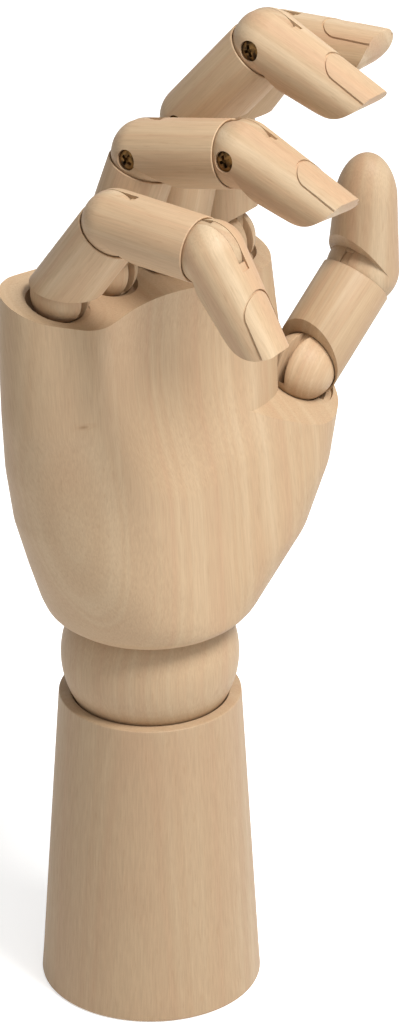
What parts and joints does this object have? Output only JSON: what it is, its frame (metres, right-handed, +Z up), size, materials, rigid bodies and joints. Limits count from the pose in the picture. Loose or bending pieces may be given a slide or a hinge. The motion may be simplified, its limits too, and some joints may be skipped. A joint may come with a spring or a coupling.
{
  "type": "articulated hand mannequin",
  "caption": "Jointed wooden artist's hand on a tapered forearm stand, with a ball wrist, slotted knuckle balls, hinged finger pieces and a posable thumb.",
  "frame": {"origin": "centre of the forearm's flat base, on the surface it stands on", "axes": "+Z up along the forearm; the palm faces -Y; the thumb and index finger are on the +X side"},
  "size_m": [0.1166, 0.0894, 0.2598],
  "materials": {
    "steel": "bright drawn steel",
    "spring_steel": "plain spring wire",
    "screw": "aged yellow metal",
    "tongue_wood": "bare hardwood",
    "ball_wood": "bare turned hardwood",
    "palm_wood": "bare sanded hardwood",
    "forearm_wood": "bare turned hardwood",
    "finger_wood": "bare turned hardwood"
  },
  "bodies": {
    "stand": {"forearm": "forearm_wood", "base_plug": "forearm_wood"},
    "wrist_tie": {"wrist_bolt": "steel", "wrist_spring": "spring_steel"},
    "wrist": {"wrist_ball": "ball_wood", "wrist_cable": "steel"},
    "palm": {"palm": "palm_wood", "anchor_pins": "steel"},
    "little_spring": {"little_spring": "spring_steel"},
    "little_knuckle": {"little_ball": "ball_wood", "little_ball_pin": "steel"},
    "little_proximal": {"little_proximal": "finger_wood", "little_base_tongue": "tongue_wood", "little_mid_tongue": "tongue_wood"},
    "little_middle": {"little_middle": "finger_wood", "little_mid_screw": "screw", "little_tip_tongue": "tongue_wood"},
    "little_distal": {"little_distal": "finger_wood", "little_tip_screw": "screw"},
    "ring_spring": {"ring_spring": "spring_steel"},
    "ring_knuckle": {"ring_ball": "ball_wood", "ring_ball_pin": "steel"},
    "ring_proximal": {"ring_proximal": "finger_wood", "ring_base_tongue": "tongue_wood", "ring_mid_tongue": "tongue_wood"},
    "ring_middle": {"ring_middle": "finger_wood", "ring_mid_screw": "screw", "ring_tip_tongue": "tongue_wood"},
    "ring_distal": {"ring_distal": "finger_wood", "ring_tip_screw": "screw"},
    "middle_spring": {"middle_spring": "spring_steel"},
    "middle_knuckle": {"middle_ball": "ball_wood", "middle_ball_pin": "steel"},
    "middle_proximal": {"middle_proximal": "finger_wood", "middle_base_tongue": "tongue_wood", "middle_mid_tongue": "tongue_wood"},
    "middle_middle": {"middle_middle": "finger_wood", "middle_mid_screw": "screw", "middle_tip_tongue": "tongue_wood"},
    "middle_distal": {"middle_distal": "finger_wood", "middle_tip_screw": "screw"},
    "index_spring": {"index_spring": "spring_steel"},
    "index_knuckle": {"index_ball": "ball_wood", "index_ball_pin": "steel"},
    "index_proximal": {"index_proximal": "finger_wood", "index_base_tongue": "tongue_wood", "index_mid_tongue": "tongue_wood"},
    "index_middle": {"index_middle": "finger_wood", "index_mid_screw": "screw", "index_tip_tongue": "tongue_wood"},
    "index_distal": {"index_distal": "finger_wood", "index_tip_screw": "screw"},
    "thumb_spring": {"thumb_spring": "spring_steel"},
    "thumb_knuckle": {"thumb_ball": "ball_wood", "thumb_ball_pin": "steel"},
    "thumb_proximal": {"thumb_proximal": "finger_wood", "thumb_base_tongue": "tongue_wood", "thumb_tip_tongue": "tongue_wood"},
    "thumb_distal": {"thumb_distal": "finger_wood", "thumb_tip_screw": "screw"}
  },
  "joints": [
    {"name": "wrist_turn", "type": "hinge", "parent": "stand", "child": "wrist_tie", "pos_m": [0, 0, 0.0903], "axis": [0, 0, 1], "range_deg": [-90, 90]},
    {"name": "wrist_bend", "type": "hinge", "parent": "wrist_tie", "child": "wrist", "pos_m": [0, 0, 0.0903], "axis": [1, 0, 0], "range_deg": [-35, 35]},
    {"name": "wrist_tilt", "type": "hinge", "parent": "wrist", "child": "palm", "pos_m": [0, 0, 0.0903], "axis": [0, 1, 0], "range_deg": [-35, 35]},
    {"name": "little_turn", "type": "hinge", "parent": "palm", "child": "little_spring", "pos_m": [-0.0287, 0.0022, 0.1963], "axis": [0.0784, 0.0041, -0.9969], "range_deg": [-13, 30]},
    {"name": "little_swing", "type": "hinge", "parent": "little_spring", "child": "little_knuckle", "pos_m": [-0.0287, 0.0022, 0.1963], "axis": [-0.0523, 0.9986, 0], "range_deg": [-28, 2]},
    {"name": "little_base_bend", "type": "hinge", "parent": "little_knuckle", "child": "little_proximal", "pos_m": [-0.0287, 0.0022, 0.1963], "axis": [0.9956, 0.0522, 0.0785], "range_deg": [-50, 30]},
    {"name": "little_mid_bend", "type": "hinge", "parent": "little_proximal", "child": "little_middle", "pos_m": [-0.02961, -0.01571, 0.21973], "axis": [0.9956, 0.0522, 0.0785], "range_deg": [-53, 21]},
    {"name": "little_tip_bend", "type": "hinge", "parent": "little_middle", "child": "little_distal", "pos_m": [-0.02814, -0.04357, 0.21958], "axis": [0.9956, 0.0522, 0.0785], "range_deg": [-58, 17]},
    {"name": "ring_turn", "type": "hinge", "parent": "palm", "child": "ring_spring", "pos_m": [-0.009, 0.0053, 0.1951], "axis": [-0.0973, -0.0068, -0.9952], "range_deg": [-8, 12]},
    {"name": "ring_swing", "type": "hinge", "parent": "ring_spring", "child": "ring_knuckle", "pos_m": [-0.009, 0.0053, 0.1951], "axis": [-0.0698, 0.9976, 0], "range_deg": [-16, 1.5]},
    {"name": "ring_base_bend", "type": "hinge", "parent": "ring_knuckle", "child": "ring_proximal", "pos_m": [-0.009, 0.0053, 0.1951], "axis": [0.9928, 0.0694, -0.0976], "range_deg": [-38, 46]},
    {"name": "ring_mid_bend", "type": "hinge", "parent": "ring_proximal", "child": "ring_middle", "pos_m": [-0.00532, -0.0041, 0.22589], "axis": [0.9928, 0.0694, -0.0976], "range_deg": [-59, 15]},
    {"name": "ring_tip_bend", "type": "hinge", "parent": "ring_middle", "child": "ring_distal", "pos_m": [-0.00275, -0.03163, 0.23239], "axis": [0.9928, 0.0694, -0.0976], "range_deg": [-31, 44]},
    {"name": "middle_turn", "type": "hinge", "parent": "palm", "child": "middle_spring", "pos_m": [0.0107, 0.0025, 0.195], "axis": [-0.0608, -0.006, -0.9981], "range_deg": [-2, 18]},
    {"name": "middle_swing", "type": "hinge", "parent": "middle_spring", "child": "middle_knuckle", "pos_m": [0.0107, 0.0025, 0.195], "axis": [-0.0976, 0.9952, 0], "range_deg": [-1.5, 0.5]},
    {"name": "middle_base_bend", "type": "hinge", "parent": "middle_knuckle", "child": "middle_proximal", "pos_m": [0.0107, 0.0025, 0.195], "axis": [0.9934, 0.0974, -0.061], "range_deg": [-32, 65]},
    {"name": "middle_mid_bend", "type": "hinge", "parent": "middle_proximal", "child": "middle_middle", "pos_m": [0.01332, -0.00309, 0.22864], "axis": [0.9934, 0.0974, -0.061], "range_deg": [-31, 44]},
    {"name": "middle_tip_bend", "type": "hinge", "parent": "middle_middle", "child": "middle_distal", "pos_m": [0.01664, -0.02258, 0.2516], "axis": [0.9934, 0.0974, -0.061], "range_deg": [-69, 5]},
    {"name": "index_turn", "type": "hinge", "parent": "palm", "child": "index_spring", "pos_m": [0.0304, 0.002, 0.1904], "axis": [0.0208, 0.0022, 0.9998], "range_deg": [-2, 15]},
    {"name": "index_swing", "type": "hinge", "parent": "index_spring", "child": "index_knuckle", "pos_m": [0.0304, 0.002, 0.1904], "axis": [0.1045, -0.9945, 0], "range_deg": [-22, 0.5]},
    {"name": "index_base_bend", "type": "hinge", "parent": "index_knuckle", "child": "index_proximal", "pos_m": [0.0304, 0.002, 0.1904], "axis": [0.9943, 0.1045, -0.0209], "range_deg": [-12, 63]},
    {"name": "index_mid_bend", "type": "hinge", "parent": "index_proximal", "child": "index_middle", "pos_m": [0.03085, 0.00367, 0.22015], "axis": [0.9943, 0.1045, -0.0209], "range_deg": [-38, 36]},
    {"name": "index_tip_bend", "type": "hinge", "parent": "index_middle", "child": "index_distal", "pos_m": [0.03305, -0.01258, 0.24346], "axis": [0.9943, 0.1045, -0.0209], "range_deg": [-47, 27]},
    {"name": "thumb_turn", "type": "hinge", "parent": "palm", "child": "thumb_spring", "pos_m": [0.0433, -0.0119, 0.1552], "axis": [-0.5299, 0.0577, -0.8461], "range_deg": [-18, 45]},
    {"name": "thumb_swing", "type": "hinge", "parent": "thumb_spring", "child": "thumb_knuckle", "pos_m": [0.0433, -0.0119, 0.1552], "axis": [-0.848, -0.036, 0.5287], "range_deg": [-34, 4]},
    {"name": "thumb_base_bend", "type": "hinge", "parent": "thumb_knuckle", "child": "thumb_proximal", "pos_m": [0.0433, -0.0119, 0.1552], "axis": [0, 0.9977, 0.068], "range_deg": [-19, 3]},
    {"name": "thumb_tip_bend", "type": "hinge", "parent": "thumb_proximal", "child": "thumb_distal", "pos_m": [0.06484, -0.0132, 0.17428], "axis": [0, 0.9977, 0.068], "range_deg": [-23, 50]}
  ]
}
